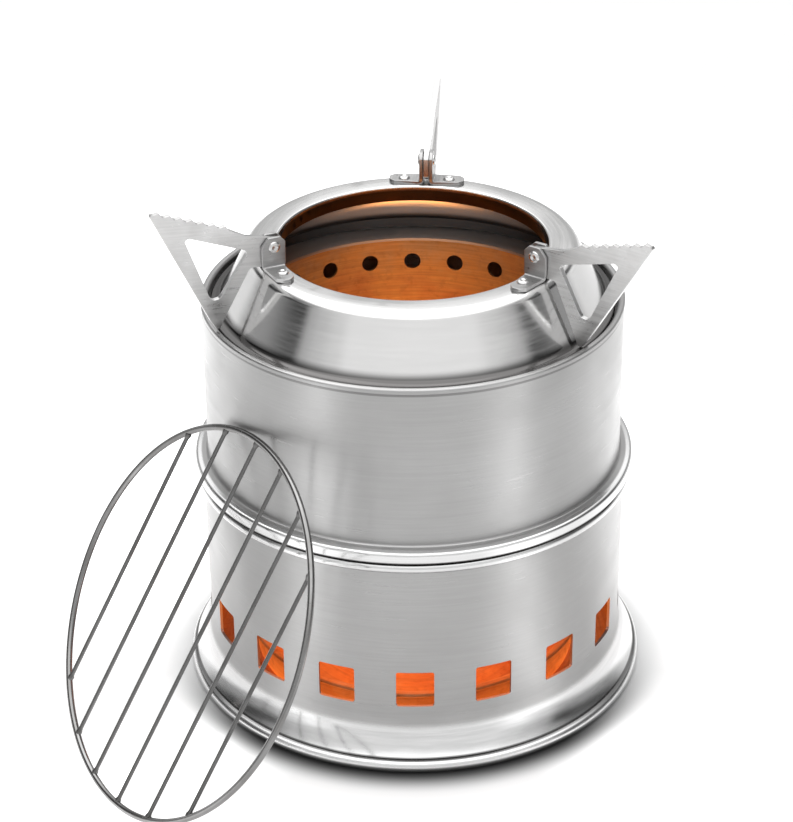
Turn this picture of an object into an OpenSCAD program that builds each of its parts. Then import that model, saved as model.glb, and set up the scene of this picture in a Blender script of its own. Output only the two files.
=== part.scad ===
// Rocket stove: a round sheet-steel wood stove in three stacked sections, with three
// folding pot-support arms on the crown and a loose round wire grill leaning on its side.
// Millimetres. +Z is up. The origin is the centre of the foot, on the surface it stands on.
// Azimuths are counted from +X towards +Y. The front of the stove faces -Y.

/* [Sheet] */
// Thickness of the outer shells and the crown
sheet_t = 0.8; // [0.6:0.1:1.0]
// Thickness of the inner fire can, grate and ash pan
inner_t = 0.6; // [0.5:0.1:0.8]

/* [Base section] */
// Outer radius of the base wall
base_r = 61.2; // [60.9:0.1:62]
// Height of the base section up to the top of its rolled rim
base_h = 66.4; // [64:0.1:68]
// Outer radius of the rolled foot
foot_r = 67.6; // [66:0.1:69]
// Radius of the wire-like roll at the foot
foot_roll_r = 2.0; // [1.6:0.1:2.4]
// Height at which the wall starts to flare out to the foot
flare_z = 16; // [13:0.5:17]
// Number of air vents round the base
vent_count = 17; // [8:1:18]
// Width of one air vent
vent_w = 10.7; // [6:0.1:12]
// Height of one air vent
vent_h = 11.3; // [6:0.1:14]
// Height of the lower edge of the air vents
vent_z = 18.8; // [18:0.1:24]

/* [Upper section] */
// Outer radius of the upper shell
upper_r = 60; // [59.5:0.1:60]
// Height of the upper shell's rim above the floor
rim_z = 118.4; // [110:0.1:125]
// Radius of the bead rolled round the bottom of the upper shell
bead_r = 1.6; // [1.3:0.1:1.8]
// Radius of the hem rolled inwards along the upper shell's rim
hem_r = 1.0; // [0.8:0.1:1.1]
// How far the upper shell reaches down inside the base
spigot_h = 8.8; // [5:0.1:12]
// Outer radius of the fire can
can_r = 50; // [46:0.5:51]
// Height of the fire can's bottom above the floor
can_z = 38; // [34:1:42]
// Number of air holes in each row round the fire can
can_hole_count = 24; // [12:1:28]

/* [Crown] */
// Height of the crown's flat top above the floor
crown_z = 134.2; // [130:0.1:138]
// Radius of the fire mouth
mouth_r = 38.1; // [34:0.1:39]
// Radius of the crown's slope at the height of the upper shell's rim
crown_foot_r = 54; // [53:0.1:54.3]
// How far the crown's flange lies below the upper shell's rim
flange_drop = 1.2; // [1:0.1:1.6]
// Angle of the crown's slope above the horizontal
slope_a = 63.4; // [58:0.1:68]

/* [Pot-support arms] */
// Azimuth of the left arm; the others follow at equal steps
arm_az = -156; // [-160:1:-145]
// Thickness of an arm
arm_t = 1.5; // [1.2:0.1:2]
// Radius at which the arms' pivot pins sit
pivot_r = 42; // [41.5:0.1:42.5]
// Height of the pivot pins
pivot_z = 141; // [140.5:0.1:141.5]
// Radius of an arm's outer tip
tip_r = 77.4; // [72:0.1:80]
// Height of an arm's outer tip
tip_z = 152.7; // [151:0.1:156]
// Number of teeth along an arm
tooth_count = 7; // [5:1:10]
// Height of the teeth
tooth_h = 0.9; // [0.6:0.1:1.4]
// How far the left arm is turned up from its stop, so that its heel clears the rim
left_lift = 6; // [6:1:200]

/* [Grill] */
// Radius of the grill's ring, to the middle of its wire
grill_r = 54.5; // [53:0.1:54.5]
// Radius of the ring's wire
ring_wire_r = 0.95; // [0.8:0.05:1.3]
// Radius of the cross wires
cross_wire_r = 0.6; // [0.5:0.05:0.9]
// Distance between the cross wires
wire_pitch = 14.8; // [13:0.1:15.5]
// Lean of the grill away from upright
grill_lean = 29.2; // [28:0.1:29.5]

/* [Hidden] */
$fn = 96;

// Gap left between two sections where one stands on the other
seat_gap = 0.3;
// Steps in an arc of a turned profile
arc_steps = 6;
// A little extra for cuts that run right through
eps = 0.5;

// Base section
rim_roll_r = 1.5;
foot_roll_z = foot_roll_r - 0.2;
foot_bead_r = foot_r - foot_roll_r;
flare_drop = flare_z - 4.3;
flare_out = foot_bead_r + 0.4 - base_r;
flare_turn = 2 * atan(flare_out / flare_drop);
flare_r = flare_drop / sin(flare_turn);
floor_z = 2.4;
pan_r = 48;
pan_h = 11.5;
pan_z = floor_z + sheet_t + seat_gap;
pan_lip = 2;

// Upper section
bead_z = base_h + seat_gap + bead_r;
bead_pitch_r = upper_r + 2;
ring_top_z = rim_z - 5.8;
ring_lip = 4;
can_lip = 5;
can_h = ring_top_z - sheet_t - can_z;
grate_hole_r = 3;
grate_rows = 3;
grate_pitch = 12;

// Crown
fold_r = 3.6;
fold_tip = crown_foot_r - (crown_z - fold_r * (1 - cos(slope_a)) - rim_z) / tan(slope_a);
fold_c = [fold_tip - fold_r * sin(slope_a), crown_z - fold_r];
mouth_depth = 4.7;
flange_z = rim_z - flange_drop;
foot_bend = 2.4;
foot_tip = crown_foot_r + flange_drop / tan(slope_a);
foot_c = [foot_tip + foot_bend * tan(slope_a / 2), flange_z + foot_bend];
skirt_r = upper_r - 2 * hem_r - 0.7;
skirt_z = ring_top_z + seat_gap;
skirt_bend = 0.8;

// Arms, in the radial plane: [radius, height]
arm_step = 120;
arm_base_z = 135.0;
arm_inner_r = 39.5;
arm_top_z = 143.1;
arm_kink = [50, 144.4];
arm_toothed = [55, 146.6];
arm_heel = [56.9, flange_z + 0.4];
arm_heel_w = 1.2;
arm_slope_gap = 1.0;
window = [[67.6, 144.3], [66.4, 145], [50, 140.3], [49.4, 139.2], [55.7, 127.6], [56.6, 126.5],
    [58.2, 126.2], [59.4, 127.1]];
side_gap = 0.2;
pin_r = 1.1;
pin_play = 0.05;
pin_head_r = 1.7;
pin_head_h = 0.7;
leaf_t = 1.0;
leaf_in = arm_t / 2 + side_gap;
leaf_r = [38.7, 45.6];
leaf_top_z = 143.8;
flange_w = 11;
flange_r = [39.4, 44.6];
rivet_pos = [41.5, 6.6];
rivet_r = 1.0;
rivet_head_r = 1.7;
rivet_head_h = 0.7;

// Grill
wire_count = 6;
wire_shift = 1.6;
wire_turn = -3.5;
grill_az = -148;
grill_xy = [-63.4, -62.8];
grill_z = 0.05 + ring_wire_r + grill_r * cos(grill_lean);

function arc(c, r, a0, a1) =
    [for (i = [0:arc_steps]) let (a = a0 + (a1 - a0) * i / arc_steps) c + r * [cos(a), sin(a)]];

function back(points) = [for (i = [len(points) - 1:-1:0]) points[i]];

// A ring made by turning a round section about Z
module torus(ring_r, z, r) {
    rotate_extrude() translate([ring_r, z]) circle(r);
}

module tube(r_out, t, z0, z1) {
    translate([0, 0, z0]) difference() {
        cylinder(r = r_out, h = z1 - z0);
        translate([0, 0, -eps]) cylinder(r = r_out - t, h = z1 - z0 + 2 * eps);
    }
}

// ---- Base section ----

module base_wall() {
    flare_c = [base_r + flare_r, flare_z];
    outside = arc(flare_c, flare_r, 180, 180 + flare_turn);
    inside = arc(flare_c, flare_r + sheet_t, 180, 180 + flare_turn);
    rim_c = base_h - rim_roll_r;
    rotate_extrude() polygon(concat(
        [[base_r - sheet_t, rim_c], [base_r, rim_c]], outside, back(inside)));
}

module vents() {
    for (i = [0:vent_count - 1])
        rotate(-90 + i * 360 / vent_count)
            translate([base_r - 4, -vent_w / 2, vent_z]) cube([8, vent_w, vent_h]);
}

module base_shell() {
    color([0.78, 0.78, 0.79]) difference() {
        union() {
            base_wall();
            torus(base_r - sheet_t + rim_roll_r, base_h - rim_roll_r, rim_roll_r);
            torus(foot_bead_r, foot_roll_z, foot_roll_r);
        }
        vents();
        translate([0, 0, -10]) cylinder(r = foot_r + 5, h = 10);
    }
}

module base_floor() {
    color([0.62, 0.61, 0.6])
        translate([0, 0, floor_z]) cylinder(r = foot_bead_r - foot_roll_r, h = sheet_t);
}

module ash_pan() {
    color([0.6, 0.58, 0.56]) {
        tube(pan_r, inner_t, pan_z, pan_z + pan_h);
        translate([0, 0, pan_z]) cylinder(r = pan_r - inner_t / 2, h = inner_t);
        tube(pan_r + pan_lip, pan_lip + inner_t / 2, pan_z + pan_h - inner_t, pan_z + pan_h);
    }
}

// ---- Upper section ----

module upper_shell() {
    color([0.8, 0.8, 0.81]) {
        tube(upper_r, sheet_t, base_h - spigot_h, rim_z - hem_r);
        torus(upper_r - hem_r, rim_z - hem_r, hem_r);
        difference() {
            union() {
                torus(bead_pitch_r, bead_z, bead_r);
                rotate_extrude() polygon([
                    [upper_r - sheet_t / 2, bead_z - bead_r], [bead_pitch_r, bead_z - bead_r],
                    [bead_pitch_r, bead_z + bead_r], [upper_r + 0.6, bead_z + bead_r],
                    [upper_r, bead_z + bead_r + 0.6], [upper_r - sheet_t / 2, bead_z + bead_r + 0.6]]);
            }
            translate([0, 0, bead_z - 5]) cylinder(r = upper_r - sheet_t, h = 10);
        }
    }
}

module chamber_ring() {
    color([0.6, 0.59, 0.57]) {
        tube(upper_r - sheet_t, upper_r - sheet_t - can_r + 2 * inner_t, ring_top_z - sheet_t, ring_top_z);
        tube(upper_r - sheet_t, sheet_t, ring_top_z - sheet_t - ring_lip, ring_top_z - sheet_t / 2);
    }
}

module can_holes(z, r) {
    for (i = [0:can_hole_count - 1])
        rotate(i * 360 / can_hole_count) translate([can_r - 4, 0, z])
            rotate([0, 90, 0]) cylinder(r = r, h = 8, $fn = 32);
}

module fire_can() {
    color([0.55, 0.5, 0.46]) difference() {
        union() {
            tube(can_r, inner_t, can_z, can_z + can_h);
            tube(can_r - inner_t / 2, can_lip, can_z, can_z + inner_t);
        }
        can_holes(can_z + can_h - 7, 2.5);
        can_holes(can_z + 8, 2);
    }
}

module fire_grate() {
    color([0.5, 0.46, 0.42]) translate([0, 0, can_z + inner_t]) difference() {
        cylinder(r = can_r - inner_t - 0.2, h = sheet_t);
        for (row = [0:grate_rows])
            for (i = [0:max(row * 6, 1) - 1])
                rotate(i * 360 / max(row * 6, 1)) translate([row * grate_pitch, 0, -eps])
                    cylinder(r = grate_hole_r, h = sheet_t + 2 * eps, $fn = 32);
    }
}

// ---- Crown ----

module crown_sheet() {
    outside = concat(
        [[mouth_r, crown_z - mouth_depth], [mouth_r, crown_z]],
        arc(fold_c, fold_r, 90, 90 - slope_a),
        arc(foot_c, foot_bend, 270 - slope_a, 270),
        arc([skirt_r - skirt_bend, flange_z - skirt_bend], skirt_bend, 90, 0),
        [[skirt_r, skirt_z]]);
    inside = concat(
        [[mouth_r + sheet_t, crown_z - mouth_depth], [mouth_r + sheet_t, crown_z - sheet_t]],
        arc(fold_c, fold_r - sheet_t, 90, 90 - slope_a),
        arc(foot_c, foot_bend + sheet_t, 270 - slope_a, 270),
        [[skirt_r - sheet_t, flange_z - sheet_t], [skirt_r - sheet_t, skirt_z]]);
    rotate_extrude() polygon(concat(outside, back(inside)));
}

module crown() {
    color([0.86, 0.86, 0.87]) difference() {
        crown_sheet();
        for (k = [0:2]) at_arm(k) for (side = [-1, 1])
            translate([rivet_pos[0], side * rivet_pos[1], crown_z - 5]) cylinder(r = rivet_r, h = 10);
    }
}

// ---- Arms and their brackets ----

// Places its children in the frame of arm k: X runs outwards and Y across the arm
module at_arm(k) {
    rotate(arm_az + k * arm_step) children();
}

// Extrudes an outline drawn as [radius, height] to a plate from y0 to y1
module plate(points, y0, y1) {
    translate([0, y1, 0]) rotate([90, 0, 0]) linear_extrude(y1 - y0) polygon(points);
}

// A round bar across the arm, through the pivot
module pivot_bar(r, y0, y1) {
    translate([pivot_r, y0, pivot_z]) rotate([-90, 0, 0]) cylinder(r = r, h = y1 - y0);
}

// Turns its children up about the arm's pivot
module lifted(angle) {
    translate([pivot_r, 0, pivot_z]) rotate([0, -angle, 0]) translate([-pivot_r, 0, -pivot_z]) children();
}

// The toothed edge: small pointed teeth with short flats between them
function teeth() =
    let (along = ([tip_r, tip_z] - arm_toothed) / tooth_count,
         up = [-along[1], along[0]] * tooth_h / norm(along))
    [for (i = [0:tooth_count - 1]) each
        [arm_toothed + along * i, arm_toothed + along * (i + 0.45) + up,
         arm_toothed + along * (i + 0.85)]];

module arm(k) {
    slope_r = crown_foot_r - (crown_z + 0.4 - rim_z) / tan(slope_a);
    outline = concat(
        [[arm_inner_r, arm_base_z + 1.4], [arm_inner_r, arm_top_z - 1.2],
         [arm_inner_r + 1.2, arm_top_z], arm_kink],
        teeth(),
        [[tip_r, tip_z], [tip_r + 0.4, tip_z - 0.7], [arm_heel[0] + 1.8, arm_heel[1] + 2.4],
         arm_heel, arm_heel - [arm_heel_w, 0], [crown_foot_r + arm_slope_gap, arm_heel[1] + 2],
         [slope_r + arm_slope_gap + 1.2, arm_base_z], [arm_inner_r + 2, arm_base_z]]);
    at_arm(k) lifted(k == 0 ? left_lift : 0) difference() {
        plate(outline, -arm_t / 2, arm_t / 2);
        plate(window, -arm_t, arm_t);
        pivot_bar(pin_r + pin_play, -arm_t, arm_t);
    }
}

// One L-shaped bracket: an upright leaf beside the arm and a flange on the crown.
// side is 1 or -1 across the arm
module bracket(k, side) {
    leaf = [[leaf_r[0], crown_z], [leaf_r[1], crown_z], [leaf_r[1], leaf_top_z - 2.5],
            [leaf_r[1] - 2, leaf_top_z], [leaf_r[0] + 1.5, leaf_top_z], [leaf_r[0], leaf_top_z - 1.5]];
    color([0.72, 0.72, 0.72]) at_arm(k) mirror([0, side > 0 ? 0 : 1, 0]) difference() {
        union() {
            plate(leaf, leaf_in, leaf_in + leaf_t);
            translate([0, 0, crown_z]) linear_extrude(leaf_t) polygon([
                [leaf_r[0] + 0.2, leaf_in + leaf_t / 2], [leaf_r[1] - 0.4, leaf_in + leaf_t / 2],
                [flange_r[1], flange_w - 1.5], [flange_r[1] - 1.5, flange_w],
                [flange_r[0] + 1.5, flange_w], [flange_r[0], flange_w - 1.5]]);
        }
        pivot_bar(pin_r, 0, 2 * leaf_in + leaf_t);
        translate([rivet_pos[0], rivet_pos[1], crown_z - eps]) cylinder(r = rivet_r, h = leaf_t + 2 * eps);
    }
}

module pivot_pin(k) {
    reach = leaf_in + leaf_t;
    color([0.82, 0.82, 0.84]) at_arm(k) {
        pivot_bar(pin_r, -reach - pin_head_h / 2, reach + pin_head_h / 2);
        pivot_bar(pin_head_r, reach, reach + pin_head_h);
        pivot_bar(pin_head_r, -reach - pin_head_h, -reach);
    }
}

module bracket_rivets(k) {
    color([0.82, 0.82, 0.84]) at_arm(k) for (side = [-1, 1])
        translate([rivet_pos[0], side * rivet_pos[1], crown_z]) {
            translate([0, 0, -sheet_t - rivet_head_h / 2])
                cylinder(r = rivet_r, h = sheet_t + leaf_t + rivet_head_h);
            translate([0, 0, leaf_t]) cylinder(r = rivet_head_r, h = rivet_head_h);
            translate([0, 0, -sheet_t - rivet_head_h]) cylinder(r = rivet_head_r, h = rivet_head_h);
        }
}

// ---- Grill ----

// Places its children in the grill's plane: X runs down the lean and Y level
module at_grill() {
    translate([grill_xy[0], grill_xy[1], grill_z])
        rotate([0, 90 - grill_lean, grill_az]) children();
}

module grill_ring() {
    color([0.7, 0.7, 0.71]) at_grill() torus(grill_r, 0, ring_wire_r);
}

// Cross wire i, counted from 1, cut just short of the ring's inner side
module grill_wire(i) {
    y = (i - (wire_count + 1) / 2) * wire_pitch + wire_shift;
    inner_r = grill_r - ring_wire_r - 0.1;
    half = sqrt(pow(inner_r, 2) - pow(abs(y) + cross_wire_r, 2));
    color([0.7, 0.7, 0.71]) at_grill() rotate(wire_turn) translate([-half, y, 0])
        rotate([0, 90, 0]) cylinder(r = cross_wire_r, h = 2 * half, $fn = 32);
}

base_shell();
base_floor();
ash_pan();
upper_shell();
chamber_ring();
fire_can();
fire_grate();
crown();
arm(0);  // arm_left
arm(1);  // arm_right
arm(2);  // arm_back
bracket(0, 1);  // bracket_left_a
bracket(0, -1);  // bracket_left_b
bracket(1, 1);  // bracket_right_a
bracket(1, -1);  // bracket_right_b
bracket(2, 1);  // bracket_back_a
bracket(2, -1);  // bracket_back_b
pivot_pin(0);  // pivot_pin_left
pivot_pin(1);  // pivot_pin_right
pivot_pin(2);  // pivot_pin_back
bracket_rivets(0);  // bracket_rivets_left
bracket_rivets(1);  // bracket_rivets_right
bracket_rivets(2);  // bracket_rivets_back
grill_ring();
grill_wire(1);  // grill_wire_1
grill_wire(2);  // grill_wire_2
grill_wire(3);  // grill_wire_3
grill_wire(4);  // grill_wire_4
grill_wire(5);  // grill_wire_5
grill_wire(6);  // grill_wire_6
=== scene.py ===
"""Looks of the rocket stove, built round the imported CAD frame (metres, +Z up, front towards -Y)."""
import math

import bmesh
import bpy
import numpy as np
from mathutils import Matrix, Vector


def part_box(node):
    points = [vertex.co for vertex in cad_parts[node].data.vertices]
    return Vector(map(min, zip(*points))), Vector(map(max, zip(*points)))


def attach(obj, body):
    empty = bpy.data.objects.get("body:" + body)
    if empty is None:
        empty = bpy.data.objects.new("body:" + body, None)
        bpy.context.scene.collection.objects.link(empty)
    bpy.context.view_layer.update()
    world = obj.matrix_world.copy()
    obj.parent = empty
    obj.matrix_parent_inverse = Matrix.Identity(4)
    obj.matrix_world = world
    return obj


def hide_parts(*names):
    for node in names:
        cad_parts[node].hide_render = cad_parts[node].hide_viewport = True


MM = 0.001
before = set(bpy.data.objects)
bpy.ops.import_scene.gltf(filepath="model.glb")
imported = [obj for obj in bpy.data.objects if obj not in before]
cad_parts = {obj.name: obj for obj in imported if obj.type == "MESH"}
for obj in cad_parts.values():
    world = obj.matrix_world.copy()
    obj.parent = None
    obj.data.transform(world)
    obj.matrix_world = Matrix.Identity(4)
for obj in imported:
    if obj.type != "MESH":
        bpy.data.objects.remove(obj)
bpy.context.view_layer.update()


def box_mm(node):
    """A CAD node's lowest and highest corners in millimetres."""
    low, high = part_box(node)
    return low / MM, high / MM


# ---------------------------------------------------------------- sizes in mm, outer ones from the frame

_, base_high = box_mm("base_shell")
upper_low, upper_high = box_mm("upper_shell")
crown_low, crown_high = box_mm("crown")
pan_low, pan_high = box_mm("ash_pan")

SHEET, PAN_SHEET = 0.8, 0.6

# base section
FOOT_R = base_high.x
BASE_H = base_high.z
BASE_R = FOOT_R - 6.4
FOOT_ROLL, RIM_ROLL = 2.0, 1.5
FLARE_Z = 16.0
VENT_COUNT = 17
VENT_LOW, VENT_HIGH, VENT_HALF, VENT_CORNER = 18.8, 30.1, 5.35, 0.7

# upper section and crown
RIM_Z = upper_high.z
BEAD_R = upper_high.x
UPPER_R = BEAD_R - 3.6
UPPER_WALL = UPPER_R - 0.15
CROWN_Z = crown_high.z
SKIRT_R = crown_high.x
FLANGE_Z = RIM_Z - 1.2
CROWN_FOOT_R = 54.0
MOUTH_R, MOUTH_DEPTH = 38.1, 4.7
SLOPE = math.radians(63.4)

# arms; an arm stands its lift, in degrees, above its stop
ARM_AZ = {"left": -156, "right": -36, "back": 84}
ARM_LIFT = {"left": 6, "right": 0, "back": 0}
ARM_T, TEETH = 1.5, 7
PIVOT = (42.0, 141.0)
RIVET_AT = (41.5, 6.6)

# grill
GRILL_R, RING_WIRE, CROSS_WIRE = 54.5, 0.95, 0.6
GRILL_AZ, GRILL_LEAN = -148, 29.2
WIRE_COUNT, WIRE_PITCH, WIRE_SHIFT, WIRE_TURN = 6, 14.8, 1.6, -3.5


# ---------------------------------------------------------------- mesh helpers

def arc(centre, radius, a0, a1, steps):
    """Points on an arc, angles in degrees."""
    return [(centre[0] + radius * math.cos(math.radians(a0 + (a1 - a0) * i / steps)),
             centre[1] + radius * math.sin(math.radians(a0 + (a1 - a0) * i / steps)))
            for i in range(steps + 1)]


def rounded(corners, step=12):
    """A closed outline from (x, y) or (x, y, radius) corners, with each radius as a fillet."""
    out = []
    count = len(corners)
    for i, corner in enumerate(corners):
        p = Vector(corner[:2])
        radius = corner[2] if len(corner) > 2 else 0
        before = Vector(corners[i - 1][:2]) - p
        after = Vector(corners[(i + 1) % count][:2]) - p
        angle = before.angle(after)
        if radius <= 0 or angle > math.radians(178):
            out.append(tuple(p))
            continue
        reach = min(radius / math.tan(angle / 2), 0.48 * before.length, 0.48 * after.length)
        radius = reach * math.tan(angle / 2)
        start = p + before.normalized() * reach
        bisector = (before.normalized() + after.normalized()).normalized()
        centre = p + bisector * (radius / math.sin(angle / 2))
        v = start - centre
        turn = math.pi - angle
        if v.x * before.y - v.y * before.x < 0:
            turn = -turn
        steps = max(2, round(abs(math.degrees(turn)) / step))
        for k in range(steps + 1):
            a = -turn * k / steps
            out.append((centre.x + v.x * math.cos(a) - v.y * math.sin(a),
                        centre.y + v.x * math.sin(a) + v.y * math.cos(a)))
    return out


def new_object(name, data, matrix=None):
    """Links an object. A matrix is applied to the mesh itself, and the attribute "grain" keeps each
    point's own coordinates from before, which the plate and wire materials follow."""
    obj = bpy.data.objects.new(name, data)
    bpy.context.scene.collection.objects.link(obj)
    if matrix is not None:
        own = np.zeros(len(data.vertices) * 3, np.float32)
        data.vertices.foreach_get("co", own)
        data.attributes.new("grain", "FLOAT_VECTOR", "POINT").data.foreach_set("vector", own)
        data.transform(matrix)
    return obj


def shade(mesh, angle=35):
    """Smooth faces with edges sharper than the angle kept crisp."""
    mesh.polygons.foreach_set("use_smooth", [True] * len(mesh.polygons))
    mesh.set_sharp_from_angle(angle=math.radians(angle))


def fix_normals(mesh):
    """Joins points that coincide and turns every face outwards."""
    bm = bmesh.new()
    bm.from_mesh(mesh)
    bmesh.ops.remove_doubles(bm, verts=bm.verts, dist=1e-7)
    bmesh.ops.recalc_face_normals(bm, faces=bm.faces)
    bm.to_mesh(mesh)
    bm.free()


def lathe(name, section, steps, matrix=None, closed=True, angle=35):
    """Turns a (radius, height) section in mm about Z; an open one starts and ends on the axis."""
    count = len(section)
    rings = np.array(section, float) * MM
    turn = np.linspace(0, 2 * math.pi, steps, endpoint=False)
    co = np.stack([np.outer(np.cos(turn), rings[:, 0]), np.outer(np.sin(turn), rings[:, 0]),
                   np.tile(rings[:, 1], (steps, 1))], -1).reshape(-1, 3)
    last = count if closed else count - 1
    faces = [(s * count + k, ((s + 1) % steps) * count + k,
              ((s + 1) % steps) * count + (k + 1) % count, s * count + (k + 1) % count)
             for s in range(steps) for k in range(last)]
    mesh = bpy.data.meshes.new(name)
    mesh.from_pydata([tuple(c) for c in co], [], faces)
    fix_normals(mesh)
    shade(mesh, angle)
    return new_object(name, mesh, matrix)


def plate_mesh(name, outlines, thickness, bevel=0.08):
    """A flat plate from closed outlines in mm (the first is the edge, the rest are holes), centred on
    its own XY plane, with softly bevelled edges."""
    curve = bpy.data.curves.new(name, "CURVE")
    curve.dimensions = "2D"
    curve.fill_mode = "BOTH"
    curve.extrude = (thickness / 2 - bevel) * MM
    curve.bevel_depth = bevel * MM
    curve.bevel_resolution = 1
    curve.offset = -bevel * MM
    for points in outlines:
        spline = curve.splines.new("POLY")
        spline.points.add(len(points) - 1)
        for p, (x, y) in zip(spline.points, points):
            p.co = (x * MM, y * MM, 0, 1)
        spline.use_cyclic_u = True
    obj = new_object(name, curve)
    bpy.context.view_layer.update()
    evaluated = obj.evaluated_get(bpy.context.evaluated_depsgraph_get())
    mesh = bpy.data.meshes.new_from_object(evaluated)
    bpy.data.objects.remove(obj)
    bpy.data.curves.remove(curve)
    mesh.name = name
    mesh.materials.clear()
    fix_normals(mesh)
    shade(mesh, 12)
    return mesh


def cut(obj, cutters):
    """Takes the cutters' joined mesh out of obj, exactly."""
    bm = bmesh.new()
    for points, faces in cutters:
        verts = [bm.verts.new(p) for p in points]
        for f in faces:
            bm.faces.new([verts[i] for i in f])
    bmesh.ops.recalc_face_normals(bm, faces=bm.faces)
    mesh = bpy.data.meshes.new("cutter")
    bm.to_mesh(mesh)
    bm.free()
    tool = new_object("cutter", mesh)
    modifier = obj.modifiers.new("holes", "BOOLEAN")
    modifier.operation = "DIFFERENCE"
    modifier.solver = "EXACT"
    modifier.object = tool
    bpy.context.view_layer.update()
    evaluated = obj.evaluated_get(bpy.context.evaluated_depsgraph_get())
    result = bpy.data.meshes.new_from_object(evaluated)
    obj.modifiers.clear()
    obj.data = result
    bpy.data.objects.remove(tool)
    shade(result)


def prism(outline, low, high, matrix):
    """A cutter: an outline in mm in its own XY plane, from low to high along Z, then moved by matrix."""
    count = len(outline)
    points = [matrix @ Vector((x * MM, y * MM, z * MM)) for z in (low, high) for x, y in outline]
    faces = [tuple(range(count)), tuple(range(count, 2 * count))]
    faces += [(i, (i + 1) % count, count + (i + 1) % count, count + i) for i in range(count)]
    return points, faces


def radial_normals(mesh, z_range):
    """Exact normals for the turned wall, so that the cut openings leave no shading marks on it."""
    normals = np.zeros(len(mesh.loops) * 3, np.float32)
    mesh.corner_normals.foreach_get("vector", normals)
    normals = normals.reshape(-1, 3)
    for poly in mesh.polygons:
        centre = poly.center
        if not z_range[0] * MM < centre.z < z_range[1] * MM:
            continue
        side = Vector((centre.x, centre.y, 0)).normalized().dot(poly.normal)
        if abs(side) < 0.9:
            continue
        for loop in poly.loop_indices:
            v = mesh.vertices[mesh.loops[loop].vertex_index].co
            n = Vector((v.x, v.y, 0)).normalized() * (1 if side > 0 else -1)
            normals[loop] = n
    mesh.normals_split_custom_set([tuple(n) for n in normals])


# ---------------------------------------------------------------- materials

class Graph:
    """A short way to write a node graph."""

    def __init__(self, tree):
        self.tree = tree

    def use_coords(self, coords):
        self.coords = coords
        self.xyz = self.add("ShaderNodeSeparateXYZ", coords).outputs

    def add(self, kind, *inputs, **props):
        """A node with its settings, and its inputs in order."""
        node = self.tree.nodes.new(kind)
        for key, value in props.items():
            setattr(node, key, value)
        for socket, value in zip(node.inputs, inputs):
            self.set(socket, value)
        return node

    def set(self, socket, value):
        """Links a socket to another one or gives it a plain value."""
        if isinstance(value, bpy.types.NodeSocket):
            self.tree.links.new(value, socket)
        elif value is not None:
            socket.default_value = value

    def math(self, operation, *values):
        return self.add("ShaderNodeMath", *values, operation=operation).outputs[0]

    def radius(self):
        """Distance from the stove's axis."""
        flat = self.add("ShaderNodeCombineXYZ", self.xyz["X"], self.xyz["Y"], 0.0).outputs[0]
        return self.add("ShaderNodeVectorMath", flat, operation="LENGTH").outputs["Value"]

    def share_round(self):
        """How far round the stove, the same on both sides: 0 in front of it and 1 behind it."""
        azimuth = self.math("ARCTAN2", self.xyz["X"], self.math("MULTIPLY", self.xyz["Y"], -1.0))
        return self.math("DIVIDE", self.math("ABSOLUTE", azimuth), math.pi)

    def spread(self, value, low, high, out_low=0.0, out_high=1.0):
        """Takes value from low..high to out_low..out_high, with soft ends."""
        node = self.add("ShaderNodeMapRange", value, low, high, out_low, out_high,
                        interpolation_type="SMOOTHSTEP")
        return node.outputs["Result"]

    def ramp(self, value, stops, interpolation="LINEAR"):
        """A colour by value, from (value, colour) stops."""
        node = self.add("ShaderNodeValToRGB", value)
        node.color_ramp.interpolation = interpolation
        elements = node.color_ramp.elements
        while len(elements) < len(stops):
            elements.new(0.5)
        for element, (position, colour) in zip(elements, stops):
            element.position = position
            element.color = (*colour, 1)
        return node.outputs["Color"]

    def mix(self, factor, a, b):
        """Colour a where factor is 0 and b where it is 1."""
        node = self.add("ShaderNodeMix", data_type="RGBA")
        for key, value in ((0, factor), (6, a), (7, b)):
            self.set(node.inputs[key], (*value, 1) if isinstance(value, tuple) else value)
        return node.outputs[2]


class Nodes(Graph):
    """A material's graph. With own_axes it follows a piece's coordinates from before it was placed."""

    def __init__(self, name, own_axes=False, **shader):
        self.material = bpy.data.materials.new(name)
        self.material.use_nodes = True
        super().__init__(self.material.node_tree)
        self.shader = self.tree.nodes["Principled BSDF"]
        for key, value in shader.items():
            self.shader.inputs[key.replace("_", " ")].default_value = value
        if own_axes:
            self.use_coords(self.add("ShaderNodeAttribute", attribute_name="grain").outputs["Vector"])
        else:
            self.use_coords(self.add("ShaderNodeTexCoord").outputs["Object"])

    def stretched(self, sx, sy, sz, z=None):
        """Object coordinates scaled per axis, in waves per metre."""
        parts = [self.math("MULTIPLY", self.xyz["X"], sx), self.math("MULTIPLY", self.xyz["Y"], sy),
                 self.math("MULTIPLY", z or self.xyz["Z"], sz)]
        return self.add("ShaderNodeCombineXYZ", *parts).outputs[0]

    def noise(self, vector, scale=1.0, detail=3.0, roughness=0.6):
        node = self.add("ShaderNodeTexNoise")
        self.set(node.inputs["Vector"], vector)
        node.inputs["Scale"].default_value = scale
        node.inputs["Detail"].default_value = detail
        node.inputs["Roughness"].default_value = roughness
        return node.outputs["Fac"]

    def colour(self, value):
        self.set(self.shader.inputs["Base Color"], value)

    def rough(self, value):
        self.set(self.shader.inputs["Roughness"], value)

    def bump(self, height, strength):
        node = self.add("ShaderNodeBump")
        node.inputs["Strength"].default_value = strength
        node.inputs["Distance"].default_value = 0.04 * MM
        self.set(node.inputs["Height"], height)
        self.set(self.shader.inputs["Normal"], node.outputs["Normal"])


def grey(value, warm=0.0):
    """A grey colour, shifted a little from blue to red by warm."""
    return (value * (1 + warm), value, value * (1 - warm))


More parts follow.
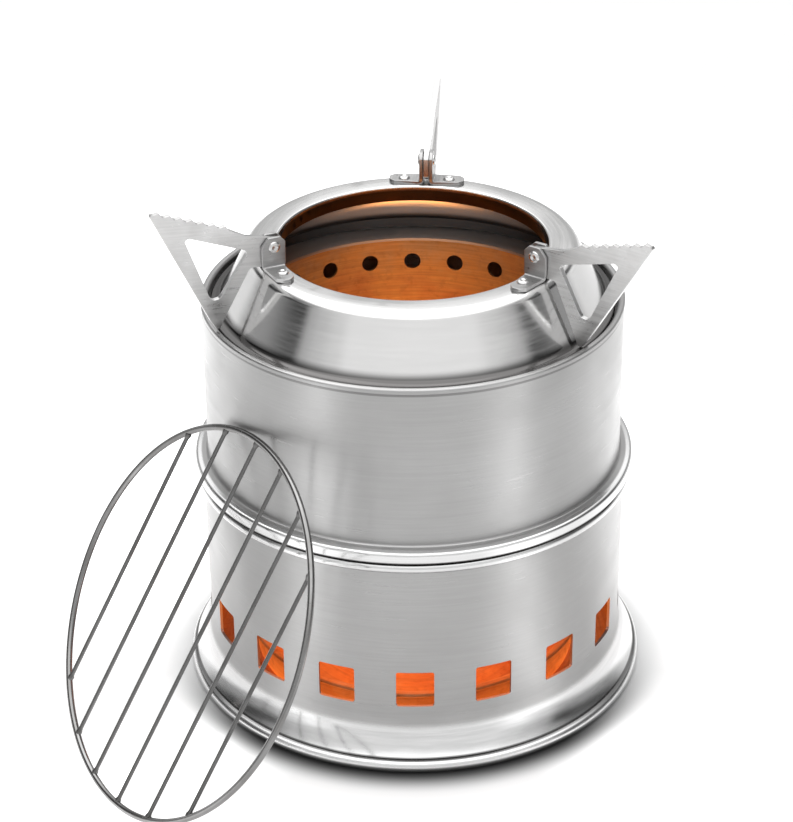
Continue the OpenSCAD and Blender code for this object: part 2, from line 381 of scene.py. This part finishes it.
def brushed_round(name, metallic, anisotropic):
    """The graph of a metal brushed round the axis, and the distance that its streaks vary with."""
    n = Nodes(name, Metallic=metallic, Anisotropic=anisotropic, Anisotropic_Rotation=0.25)
    tangent = n.add("ShaderNodeTangent", direction_type="RADIAL", axis="Z")
    n.set(n.shader.inputs["Tangent"], tangent.outputs[0])
    return n, n.math("ADD", n.xyz["Z"], n.radius())


def turned_steel(name, tone=0.385, rough=0.34, grain=0.5, anisotropic=0.75, dark=None, wear_and_sheen=False):
    """Stainless sheet brushed round the axis: fine streaks along the circumference, faint handling
    marks and a few stray scratches. dark() may stain the colour or paint shade into it; worn makes the
    parts that stand proud of the wall smoother, as handling polishes them, and paints them brighter
    as a painted highlight."""
    n, along = brushed_round(name, 1.0, anisotropic)
    fine = n.noise(n.stretched(55, 55, 2100, along), detail=4.0, roughness=0.7)
    coarse = n.noise(n.stretched(16, 16, 520, along), detail=2.0)
    patch = n.noise(n.coords, scale=38.0, detail=2.0)
    stray = n.noise(n.stretched(90, 90, 2600), detail=1.0, roughness=0.4)
    streak = n.math("ADD", n.math("MULTIPLY", fine, 0.65), n.math("MULTIPLY", coarse, 0.35))
    scratch = n.spread(stray, 0.68, 0.78)
    light = n.spread(streak, 0.3, 0.7)
    colour = n.mix(light, grey(tone * (1 - 0.16 * grain), 0.004), grey(tone * (1 + 0.12 * grain), 0.004))
    colour = n.mix(n.spread(patch, 0.3, 0.75, 0, 0.25), colour, grey(tone * 0.9, 0.012))
    value = n.math("ADD", n.spread(streak, 0.25, 0.75, rough - 0.07, rough + 0.07),
                   n.spread(patch, 0.3, 0.7, -0.03, 0.05))
    value = n.math("SUBTRACT", value, n.math("MULTIPLY", scratch, 0.08))
    if wear_and_sheen:
        # painted highlight: the rolled parts are painted brighter; their lower roughness is the real
        # polish
        rolled = n.spread(n.radius(), 61.4 * MM, 62.0 * MM)
        colour = n.mix(rolled, colour, n.mix(light, grey(tone * 1.6), grey(tone * 1.85)))
        value = n.math("MULTIPLY", value, n.math("SUBTRACT", 1.0, n.math("MULTIPLY", rolled, 0.5)))
    if dark:
        colour = dark(n, colour, patch)
    n.colour(colour)
    n.rough(value)
    n.bump(n.math("SUBTRACT", streak, n.math("MULTIPLY", scratch, 0.3)), 0.22 * grain)
    return n.material


def plate_steel(name, tone=0.6, rough=0.34, along=45, across=1500, relief=0.1):
    """Satin stainless plate with straight grain along its own X, smudges and small nicks."""
    n = Nodes(name, own_axes=True, Metallic=1.0, Anisotropic=0.35)
    fine = n.noise(n.stretched(along, across, across), detail=4.0, roughness=0.7)
    patch = n.noise(n.coords, scale=90.0, detail=3.0)
    nicks = n.spread(n.noise(n.stretched(700, 1500, 500), detail=2.0), 0.67, 0.74)
    colour = n.mix(n.spread(fine, 0.3, 0.7), grey(tone * 0.9, 0.004), grey(tone * 1.08, 0.004))
    colour = n.mix(n.spread(patch, 0.35, 0.75, 0, 0.35), colour, grey(tone * 0.82, 0.02))
    n.colour(colour)
    value = n.math("ADD", n.spread(fine, 0.25, 0.75, rough - 0.07, rough + 0.07),
                   n.spread(patch, 0.3, 0.7, -0.04, 0.07))
    n.rough(n.math("SUBTRACT", value, n.math("MULTIPLY", nicks, 0.1)))
    n.bump(n.math("SUBTRACT", fine, n.math("MULTIPLY", nicks, 0.4)), relief)
    return n.material


def wire_chrome(name, tone, rough=0.1):
    """Drawn bright wire: faint draw lines along it, dull patches and specks."""
    n = Nodes(name, own_axes=True, Metallic=1.0)
    lines = n.noise(n.stretched(40, 900, 900), detail=3.0)
    dull = n.noise(n.coords, scale=70.0, detail=4.0)
    speck = n.spread(n.noise(n.coords, scale=1600.0, detail=1.0), 0.68, 0.75)
    n.colour(n.mix(n.spread(dull, 0.35, 0.7), grey(tone, 0.006), grey(tone * 0.78, 0.02)))
    value = n.math("ADD", n.spread(dull, 0.3, 0.7, rough - 0.04, rough + 0.12),
                   n.math("MULTIPLY", lines, 0.08))
    n.rough(n.math("ADD", value, n.math("MULTIPLY", speck, 0.2)))
    n.bump(n.math("ADD", lines, speck), 0.12)
    return n.material


def fired_steel(name, z_soot, z_clean, rough=0.42, metal=0.9):
    """Thin steel that has been through fires: straw, bronze and violet tempering that deepens from
    z_clean to z_soot (mm), under patchy soot."""
    n, along = brushed_round(name, metal, 0.3)
    fine = n.noise(n.stretched(60, 60, 1600, along), detail=4.0)
    cloud = n.noise(n.coords, scale=42.0, detail=5.0, roughness=0.62)
    speck = n.noise(n.coords, scale=420.0, detail=3.0)
    height = n.spread(n.xyz["Z"], z_clean * MM, z_soot * MM)
    level = n.math("ADD", n.math("MULTIPLY", height, 0.55), n.math("MULTIPLY", cloud, 0.6))
    temper = n.ramp(level, [(0.18, (0.58, 0.50, 0.36)), (0.36, (0.62, 0.38, 0.16)),
                            (0.52, (0.48, 0.22, 0.09)), (0.66, (0.24, 0.13, 0.12)),
                            (0.8, (0.13, 0.13, 0.17)), (0.95, (0.06, 0.055, 0.055))])
    soot = n.math("MULTIPLY", n.spread(speck, 0.5, 0.7), n.spread(level, 0.4, 0.9, 0.15, 0.9))
    colour = n.mix(soot, temper, (0.035, 0.03, 0.028))
    n.colour(n.mix(n.spread(fine, 0.35, 0.65, 0, 0.25), colour, (0.1, 0.08, 0.07)))
    n.rough(n.math("ADD", n.spread(cloud, 0.3, 0.7, rough - 0.08, rough + 0.1),
                   n.math("MULTIPLY", soot, 0.3)))
    n.bump(n.math("ADD", fine, n.math("MULTIPLY", soot, 0.8)), 0.3)
    return n.material


def seam_shade(n, colour, patch):
    """Painted shade in the seams: dark bands between the stacked sections, above the foot's roll and
    under the rim.
    """
    z = n.xyz["Z"]
    for low, high, reach, amount in ((BASE_H - 0.25, BASE_H + 0.75, 0.35, 0.9), (3.7, 4.4, 0.3, 0.75),
                                     (RIM_Z - 2.0, RIM_Z - 1.55, 0.25, 0.45)):
        band = n.math("MULTIPLY", n.spread(z, (low - reach) * MM, low * MM),
                      n.spread(z, (high + reach) * MM, high * MM))
        band = n.math("MULTIPLY", band, n.spread(patch, 0.1, 0.5, amount * 0.8, amount))
        colour = n.mix(band, colour, (0.04, 0.038, 0.037))
    return colour


def crown_stains_and_shade(n, colour, patch):
    """Straw-to-brown tempering on the mouth's collar, and painted shade in the groove at the slope's
    foot.
    """
    radius = n.radius()
    hot = n.math("MULTIPLY", n.spread(radius, 39.0 * MM, 38.0 * MM),
                 n.spread(n.xyz["Z"], CROWN_Z * MM, (CROWN_Z - 1.6) * MM))
    tint = n.ramp(n.math("ADD", hot, n.math("MULTIPLY", n.math("SUBTRACT", patch, 0.5), 0.3)),
                  [(0.0, grey(0.6)), (0.35, (0.62, 0.47, 0.26)), (0.6, (0.33, 0.17, 0.08)),
                   (0.8, (0.12, 0.1, 0.13)), (1.0, (0.05, 0.045, 0.042))])
    colour = n.mix(hot, colour, tint)
    # painted shade: the groove at the slope's foot is painted nearly black
    groove = n.math("MULTIPLY", n.spread(n.xyz["Z"], (FLANGE_Z + 3.2) * MM, (FLANGE_Z + 0.6) * MM),
                    n.spread(radius, 52 * MM, 53 * MM))
    return n.mix(n.math("MULTIPLY", groove, 0.93), colour, (0.06, 0.057, 0.056))


# the shell's seams are painted dark as shade, and its rolled parts painted brighter as a highlight
steel_shell = turned_steel("steel_brushed_shell", dark=seam_shade, wear_and_sheen=True)
steel_crown = turned_steel("steel_polished_crown", tone=0.74, rough=0.15, grain=0.14,
                           anisotropic=0.5, dark=crown_stains_and_shade)
steel_inner = turned_steel("steel_inner_sheet", tone=0.5, rough=0.4)
steel_arm = plate_steel("steel_satin_arm")
steel_bracket = plate_steel("steel_bracket", tone=0.42, rough=0.36, relief=0.05)
steel_pin = plate_steel("steel_rivet_head", tone=0.62, rough=0.24, along=600, across=900, relief=0.05)
# painted shade: the hoop gets a low tone and the cross wires a lower one, to paint the grill darker
steel_hoop = wire_chrome("steel_bright_hoop", tone=0.25)
steel_wire = wire_chrome("steel_wire_painted_dark", tone=0.15, rough=0.16)
steel_fired = fired_steel("steel_fired_can", 60, 112)
steel_grate = fired_steel("steel_fired_grate", 36, 60, rough=0.5)
steel_pan = fired_steel("steel_fired_pan", -60, 30, rough=0.6, metal=0.45)


def dress(piece, material, body, slot, *nodes):
    """Gives a finished piece its material and its body, and hides the CAD nodes it stands for; slot is
    not used.
    """
    piece.data.materials.clear()
    piece.data.materials.append(material)
    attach(piece, body)
    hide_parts(*nodes)
    return piece


# ---------------------------------------------------------------- base section

def base_section():
    """Wall with a rolled rim at the top, a concave flare and a rolled foot, flat underneath."""
    foot = (FOOT_R - FOOT_ROLL, FOOT_ROLL - 0.2)
    rim = (BASE_R + 0.7, BASE_H - RIM_ROLL)
    flare_end = (foot[0] + 0.4, 4.3)
    drop, out = FLARE_Z - flare_end[1], flare_end[0] - BASE_R
    turn = 2 * math.atan(out / drop)
    radius = drop / math.sin(turn)
    centre = (BASE_R + radius, FLARE_Z)
    outer = arc(centre, radius, 180 + math.degrees(turn), 180, 14)
    inner = arc(centre, radius + SHEET, 180, 180 + math.degrees(turn), 14)
    return (arc(foot, FOOT_ROLL, -64.2, 72, 16) + [(foot[0] - 0.05, 3.98)] + outer
            + [(BASE_R, rim[1] - RIM_ROLL - 0.15), (BASE_R - 0.15, rim[1] - RIM_ROLL)]
            + arc(rim, RIM_ROLL, -104, 180, 28) + inner[:-1]
            + arc(foot, FOOT_ROLL, 108, 244.2, 14))


base = lathe("base_wall", base_section(), 320)
vent_outline = rounded([(z, y, VENT_CORNER) for z, y in (
    (VENT_LOW, -VENT_HALF), (VENT_HIGH, -VENT_HALF), (VENT_HIGH, VENT_HALF), (VENT_LOW, VENT_HALF))])
vents = []
for k in range(VENT_COUNT):
    # the outline's x is height and y is across; its depth runs outwards
    outwards = Matrix.Rotation(math.radians(-90 + k * 360 / VENT_COUNT), 4, "Z")
    upright = Matrix(((0, 0, 1, 0), (0, 1, 0, 0), (1, 0, 0, 0), (0, 0, 0, 1)))
    vents.append(prism(vent_outline, BASE_R - 4, BASE_R + 4, outwards @ upright))
cut(base, vents)
radial_normals(base.data, (FLARE_Z + 0.2, BASE_H - 3.4))
dress(base, steel_shell, "base", "shell_steel", "base_shell")


def pan_section():
    """Half of a shallow pan on the axis: bottom with a pressed ring, wall and a rolled lip."""
    r, z, top = pan_high.x, pan_low.z, pan_high.z
    wall, inside, bottom, lip = r - 2.0, r - 2.0 - PAN_SHEET, z + PAN_SHEET, 0.7
    outer = [(0, z), (r - 5.5, z), (inside, bottom), (wall, z + 3.2), (wall, top - 1.4),
             (r - 1.4, top - 1.2)]
    inner = [(wall, top), (inside, top - 0.6), (inside, z + 3.4), (r - 3.2, z + 1.5), (r - 5.6, bottom)]
    ring = [(33, bottom), (31.5, z + 1.2), (29.5, z + 1.2), (28, bottom)]
    return outer + arc((r - lip, top - lip), lip, -120, 90, 10) + inner + ring + [(0, bottom)]


pan = lathe("ash_tray", pan_section(), 160, closed=False, angle=40)
dress(pan, steel_pan, "ash_pan", "inner_steel", "ash_pan")

# ---------------------------------------------------------------- upper section

upper_section = rounded([
    (UPPER_R, RIM_Z, 1.0), (UPPER_R - 2, RIM_Z, 1.0), (UPPER_R - 2, RIM_Z - 2, 0.8),
    (UPPER_R - SHEET, RIM_Z - 2.2, 0.2), (UPPER_R - SHEET, upper_low.z, 0.3),
    (UPPER_R, upper_low.z, 0.3), (UPPER_R, BASE_H + 0.35, 0.25), (BEAD_R, BASE_H + 0.35, 0.6),
    (BEAD_R, BASE_H + 3.75, 1.1), (UPPER_WALL, BASE_H + 4.0, 0.7), (UPPER_WALL, RIM_Z - 1.5),
    (UPPER_R, RIM_Z - 1.3)], step=9)
upper = lathe("upper_wall", upper_section, 288)
dress(upper, steel_shell, "upper", "shell_steel", "upper_shell")


# ---------------------------------------------------------------- crown

def crown_section():
    """Mouth collar, flat, fold, slope, concave foot, flange and skirt, as one sheet."""
    fold, bend, angle = 3.6, 2.4, math.degrees(SLOPE)
    rise = CROWN_Z - fold * (1 - math.cos(SLOPE)) - RIM_Z
    fold_at = (CROWN_FOOT_R - rise / math.tan(SLOPE) - fold * math.sin(SLOPE), CROWN_Z - fold)
    foot_x = CROWN_FOOT_R + (RIM_Z - FLANGE_Z) / math.tan(SLOPE)
    foot_at = (foot_x + bend * math.tan(SLOPE / 2), FLANGE_Z + bend)
    collar_z = CROWN_Z - MOUTH_DEPTH
    outer = [(MOUTH_R, collar_z, 0.2), (MOUTH_R, CROWN_Z, 0.6)]
    outer += arc(fold_at, fold, 90, 90 - angle, 16) + arc(foot_at, bend, 270 - angle, 270, 12)
    outer += [(SKIRT_R, FLANGE_Z, 0.8), (SKIRT_R, crown_low.z, 0.2)]
    inner = [(SKIRT_R - SHEET, crown_low.z, 0.2), (SKIRT_R - SHEET, FLANGE_Z - SHEET, 0.3)]
    inner += arc(foot_at, bend + SHEET, 270, 270 - angle, 10)
    inner += arc(fold_at, fold - SHEET, 90 - angle, 90, 10)
    inner += [(MOUTH_R + SHEET, CROWN_Z - SHEET, 0.3), (MOUTH_R + SHEET, collar_z, 0.2)]
    return rounded(outer + inner, step=10)


crown = lathe("crown_dish", crown_section(), 288)
dress(crown, steel_crown, "crown", "crown_steel", "crown")


# ---------------------------------------------------------------- arms and brackets

def arm_outlines():
    """Edge and window of a pot-support arm, as (radius, height) in mm."""
    tip, toothed, tooth_h = Vector((77.4, 152.7)), Vector((55.0, 146.6)), 0.9
    step = (tip - toothed) / TEETH
    up = Vector((-step.y, step.x)).normalized() * tooth_h
    slope_r = CROWN_FOOT_R - (CROWN_Z + 0.4 - RIM_Z) / math.tan(SLOPE)
    heel_z = FLANGE_Z + 0.4
    edge = [(39.5, 136.4, 0.5), (39.5, 141.9, 0.6), (40.7, 143.1, 0.6), (50.0, 144.4, 1.5)]
    for i in range(TEETH):
        foot = toothed + step * i
        edge += [tuple(foot), tuple(foot + step * 0.45 + up), tuple(foot + step * 0.85)]
    edge += [(*tip, 0.2), (77.8, 152.0, 0.3), (58.7, heel_z + 2.4, 1.0), (56.9, heel_z, 0.3),
             (55.7, heel_z, 0.3), (55.0, heel_z + 2.0, 0.6), (slope_r + 2.2, 135.0, 1.5),
             (41.5, 135.0, 0.8)]
    window = [(67.6, 144.3, 0.5), (66.4, 145.0, 0.5), (50.0, 140.3, 0.4), (49.4, 139.2, 0.4),
              (55.7, 127.6, 1.0), (56.6, 126.5, 0.8), (58.2, 126.2, 0.8), (59.4, 127.1, 0.8)]
    return [rounded(edge, 20), rounded(window, 20)]


def bracket_mesh(name, side):
    """A bent sheet bracket: an upright leaf beside the arm and a flange on the crown's flat. It is cut
    flat as (radius, length along the sheet), then bent."""
    gap, thick, bend = 0.95, 1.0, 1.4
    top, flat = 143.8, CROWN_Z
    straight = top - flat - bend
    turn_length = (bend - thick / 2) * math.pi / 2
    total = straight + turn_length + 11.0 - gap - bend
    outline = rounded([
        (40.2, 0, 0.5), (38.7, 1.5, 0.5), (38.7, straight - 0.6, 0.6), (39.1, straight + 1.4, 0.5),
        (39.4, total - 1.5, 0.6), (40.9, total, 0.6), (43.1, total, 0.6), (44.6, total - 1.5, 0.6),
        (45.0, straight + 1.6, 0.5), (45.6, straight - 0.6, 0.6), (45.6, 2.5, 0.8), (43.6, 0, 0.8)], 20)
    mesh = plate_mesh(name, [outline], thick, 0.14)
    bm = bmesh.new()
    bm.from_mesh(mesh)
    for k in range(7):
        at = (straight + turn_length * k / 6) * MM
        bmesh.ops.bisect_plane(bm, geom=bm.verts[:] + bm.edges[:] + bm.faces[:], dist=1e-8,
                               plane_co=(0, at, 0), plane_no=(0, 1, 0))
    for v in bm.verts:
        r, length, depth = v.co.x / MM, v.co.y / MM, v.co.z / MM + thick / 2
        if length <= straight:
            y, z = gap + depth, top - length
        elif length <= straight + turn_length:
            a = math.pi + (length - straight) / turn_length * math.pi / 2
            y = gap + bend + (bend - depth) * math.cos(a)
            z = flat + bend + (bend - depth) * math.sin(a)
        else:
            y, z = gap + bend + length - straight - turn_length, flat + depth
        v.co = Vector((r, side * y, z)) * MM
    bmesh.ops.recalc_face_normals(bm, faces=bm.faces)
    bm.to_mesh(mesh)
    bm.free()
    shade(mesh, 16)
    return mesh


def rivet_section(reach):
    """A rivet from -reach to reach with a dimpled, domed head at both ends; closed by its axis."""
    top = 0.7
    head = [(1.7, 0), (1.7, 0.18), (1.55, 0.42), (1.25, 0.6), (0.95, top), (0.7, top - 0.02),
            (0.5, top - 0.22), (0, top - 0.3)]
    lower = [(r, -reach - z) for r, z in reversed(head)]
    return lower + [(1.1, -reach), (1.1, reach)] + [(r, reach + z) for r, z in head]


def rivet_pair_mesh(name):
    """The two rivets through a bracket pair's flanges, as one mesh."""
    one = lathe(f"rivet_{name}", rivet_section(0.9), 40, closed=False, angle=50)
    bm = bmesh.new()
    for side in (-1, 1):
        before = len(bm.verts)
        bm.from_mesh(one.data)
        bm.verts.ensure_lookup_table()
        bmesh.ops.translate(bm, verts=bm.verts[before:],
                            vec=Vector((RIVET_AT[0], side * RIVET_AT[1], CROWN_Z + 0.1)) * MM)
    pair = bpy.data.meshes.new(f"rivets_{name}")
    bm.to_mesh(pair)
    bm.free()
    bpy.data.objects.remove(one)
    shade(pair, 50)
    return pair


# from an outline's plane to the upright radial plane
stand = Matrix(((1, 0, 0, 0), (0, 0, -1, 0), (0, 1, 0, 0), (0, 0, 0, 1)))
pivot = Matrix.Translation(Vector((PIVOT[0], 0, PIVOT[1])) * MM)
across = pivot @ Matrix.Rotation(math.pi / 2, 4, "X")
for name, azimuth in ARM_AZ.items():
    spin = Matrix.Rotation(math.radians(azimuth), 4, "Z")
    lift = pivot @ Matrix.Rotation(math.radians(-ARM_LIFT[name]), 4, "Y") @ pivot.inverted()
    arm = new_object(f"arm_plate_{name}", plate_mesh(f"arm_plate_{name}", arm_outlines(), ARM_T),
                     spin @ lift @ stand)
    dress(arm, steel_arm, f"arm_{name}", "arm_steel", f"arm_{name}")
    for tag, side in (("a", 1), ("b", -1)):
        leaf = new_object(f"bracket_leaf_{name}_{tag}", bracket_mesh(f"bracket_leaf_{name}_{tag}", side),
                          spin)
        dress(leaf, steel_bracket, "crown", "bracket_steel", f"bracket_{name}_{tag}")
    pin = lathe(f"pin_{name}", rivet_section(1.95), 40, spin @ across, closed=False, angle=50)
    dress(pin, steel_pin, "crown", "pin_steel", f"pivot_pin_{name}")
    rivets = new_object(f"rivets_{name}", rivet_pair_mesh(name), spin)
    dress(rivets, steel_pin, "crown", "pin_steel", f"bracket_rivets_{name}")

# ---------------------------------------------------------------- grill

ring_low, ring_high = box_mm("grill_ring")
ring_centre = (ring_low + ring_high) / 2
grill_frame = (Matrix.Translation(ring_centre * MM) @ Matrix.Rotation(math.radians(GRILL_AZ), 4, "Z")
               @ Matrix.Rotation(math.radians(90 - GRILL_LEAN), 4, "Y"))


def ring_mesh(name):
    """The grill's ring: round wire closed by a slightly proud butt weld."""
    steps, around = 240, 20
    points, faces = [], []
    for i in range(steps):
        a = 2 * math.pi * i / steps
        from_weld = (a - math.radians(172)) * GRILL_R
        wire = RING_WIRE * (1 - 0.06 * math.exp(-(from_weld / 3.5) ** 2)
                            + 0.06 * math.exp(-(from_weld / 0.9) ** 2))
        for j in range(around):
            b = 2 * math.pi * j / around
            r = GRILL_R + wire * math.cos(b)
            points.append((r * math.cos(a) * MM, r * math.sin(a) * MM, wire * math.sin(b) * MM))
            here, there, up = i * around, ((i + 1) % steps) * around, (j + 1) % around
            faces.append((here + j, there + j, there + up, here + up))
    mesh = bpy.data.meshes.new(name)
    mesh.from_pydata(points, [], faces)
    fix_normals(mesh)
    shade(mesh)
    return mesh


ring = new_object("grill_hoop", ring_mesh("grill_hoop"), grill_frame)
dress(ring, steel_hoop, "grill", "grill_wire", "grill_ring")
for i in range(WIRE_COUNT):
    y = (i - (WIRE_COUNT - 1) / 2) * WIRE_PITCH + WIRE_SHIFT
    half = math.sqrt((GRILL_R - 0.5) ** 2 - y * y)
    # an end swells where it is welded to the ring
    welded = [(r, -half + z) for r, z in ((0, 0), (0.88, 0), (0.92, 0.7), (0.7, 1.2), (CROSS_WIRE, 1.8))]
    straight = [(CROSS_WIRE, half * part) for part in (-0.5, 0, 0.5)]
    section = welded + straight + [(r, -z) for r, z in reversed(welded)]
    lay = (grill_frame @ Matrix.Rotation(math.radians(WIRE_TURN), 4, "Z")
           @ Matrix.Translation((0, y * MM, 0)) @ Matrix.Rotation(math.pi / 2, 4, "Y"))
    wire = lathe(f"grill_bar_{i + 1}", section, 20, lay, closed=False)
    dress(wire, steel_wire, "grill", "grill_wire", f"grill_wire_{i + 1}")

# ---------------------------------------------------------------- CAD nodes that keep their shape

for node, material in (("base_floor", steel_pan), ("chamber_ring", steel_inner),
                       ("fire_can", steel_fired), ("fire_grate", steel_grate)):
    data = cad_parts[node].data
    data.materials.clear()
    data.materials.append(material)

# ---------------------------------------------------------------- stage, light and camera

FLOOR_REACH = 30.0
floor_mesh = bpy.data.meshes.new("floor")
floor_mesh.from_pydata([(x * FLOOR_REACH, y * FLOOR_REACH, 0)
                        for x, y in ((-1, -1), (1, -1), (1, 1), (-1, 1))], [], [(0, 1, 2, 3)])
floor = new_object("floor", floor_mesh)
paper = Nodes("floor_pale", Roughness=0.8)
# painted light: the floor glows in bands as low softboxes would light it, brighter towards some
# sides; and a painted contact shadow of the stove in front of its foot
share = paper.share_round()
thrown = paper.ramp(share, [(at, grey(level)) for at, level in (
    (0.0, 0.32), (0.15, 0.33), (0.2, 0.6), (0.25, 1.1), (0.275, 1.12), (0.33, 0.55), (0.37, 0.34),
    (0.43, 0.28), (0.5, 0.45), (0.6, 0.85), (0.74, 1.05), (1.0, 0.9))])
away = paper.radius()
under = paper.math("MULTIPLY", paper.spread(away, 0.0765, 0.0672), paper.spread(share, 0.52, 0.2))
lit = paper.math("SUBTRACT", 1.0, under)
pale = paper.mix(paper.noise(paper.coords, scale=6.0), grey(0.61), grey(0.63))
paper.colour(paper.mix(lit, grey(0.02), pale))
paper.set(paper.shader.inputs["Emission Color"], thrown)
# the painted glow fades out close to the foot and far from the stove
near = paper.math("MULTIPLY", paper.spread(away, 0.066, 0.082), paper.spread(away, 0.46, 0.3))
paper.set(paper.shader.inputs["Emission Strength"], paper.math("MULTIPLY", lit, near))
floor_mesh.materials.append(paper.material)


def build_world():
    """A soft studio all round: brightness bands by azimuth, as tall softboxes would give."""
    world = bpy.data.worlds.new("studio")
    bpy.context.scene.world = world
    world.use_nodes = True
    graph = Graph(world.node_tree)
    graph.use_coords(graph.add("ShaderNodeTexCoord").outputs["Generated"])
    share = graph.share_round()
    peak = 4.0

    def ring(stops):
        """Brightness by azimuth, from (share round, brightness) stops."""
        return graph.ramp(share, [(at, grey(value / peak)) for at, value in stops], "EASE")

    def blend(low, high, z0, z1):
        """From low to high between two heights of the direction, as sines of its elevation."""
        return graph.mix(graph.spread(graph.xyz["Z"], z0, z1), low, high)

    low = ring([(0.0, 0.9), (0.2, 1.0), (0.29, 1.5), (0.37, 0.9), (0.45, 0.4), (0.62, 0.35),
                (0.72, 1.0), (0.86, 0.6), (1.0, 0.5)])
    middle = ring([(0.0, 0.98), (0.22, 0.97), (0.27, 0.78), (0.34, 0.62), (0.38, 0.5), (0.42, 0.06),
                   (0.7, 0.03), (0.82, 0.4), (0.9, 0.6), (1.0, 0.6)])
    high = ring([(0.0, 1.0), (0.22, 0.98), (0.27, 0.85), (0.36, 0.7), (0.42, 0.4), (0.5, 0.2),
                 (0.7, 0.25), (0.8, 0.9), (0.9, 1.5), (1.0, 1.5)])
    top = grey(2.3 / peak)
    light = blend(blend(blend(low, middle, 0.16, 0.3), high, 0.42, 0.465), top, 0.6, 0.85)
    background = graph.tree.nodes["Background"]
    graph.set(background.inputs["Color"], light)
    graph.set(background.inputs["Strength"], peak)


build_world()


def area_light(name, place, aim, size, power, colour=(1, 1, 1), shape="RECTANGLE"):
    """An area light aimed at a point, out of the camera's sight."""
    data = bpy.data.lights.new(name, "AREA")
    data.shape = shape
    data.size = size[0]
    if shape == "RECTANGLE":
        data.size_y = size[1]
    data.energy = power
    data.color = colour
    obj = bpy.data.objects.new(name, data)
    bpy.context.scene.collection.objects.link(obj)
    obj.location = place
    obj.rotation_euler = (Vector(aim) - Vector(place)).to_track_quat("-Z", "Y").to_euler()
    obj.visible_camera = False
    return obj


def ember_light(name, height, aim_z, diameter, power, colour):
    """A warm disk on the stove's axis that shines straight up or down."""
    area_light(name, (0, 0, height), (0, 0, aim_z), (diameter, diameter), power, colour, "DISK")


area_light("key_top", (-0.3, 0.5, 1.3), (0, 0, 0.05), (1.2, 1.2), 4)
# the embers' light: down on the ash tray, up beside it behind the vents, and up inside the fire can
ember_light("ember_below", 0.0372, 0, 0.102, 0.062, (1.0, 0.22, 0.05))
ember_light("ember_beside", 0.00335, 0.1, 0.117, 0.076, (1.0, 0.27, 0.06))
ember_light("ember_above", 0.042, 0.1, 0.08, 0.05, (1.0, 0.4, 0.12))

# the camera looks at the stove's axis from the front, 28.4 degrees above the floor
ELEVATION, DISTANCE, AIM_Z = math.radians(28.40), 0.738, 0.0799
ROLL, YAW = math.radians(-0.37), math.radians(-0.38)
look = Vector((0, math.cos(ELEVATION), -math.sin(ELEVATION)))
eye = Vector((0, 0, AIM_Z)) - look * DISTANCE
right = Vector((1, 0, 0))
up = right.cross(look)
ahead = look * math.cos(YAW) + right * math.sin(YAW)
level = right * math.cos(YAW) - look * math.sin(YAW)
cam_x = level * math.cos(ROLL) + up * math.sin(ROLL)
cam_y = up * math.cos(ROLL) - level * math.sin(ROLL)
cam_data = bpy.data.cameras.new("camera")
cam_data.sensor_width = 36
cam_data.lens = 111.46
cam_data.clip_start = 0.01
camera = bpy.data.objects.new("camera", cam_data)
bpy.context.scene.collection.objects.link(camera)
turned = Matrix((cam_x, cam_y, -ahead)).transposed().to_4x4()
camera.matrix_world = Matrix.Translation(eye) @ turned
bpy.context.scene.camera = camera
bpy.context.scene.view_settings.view_transform = "Standard"
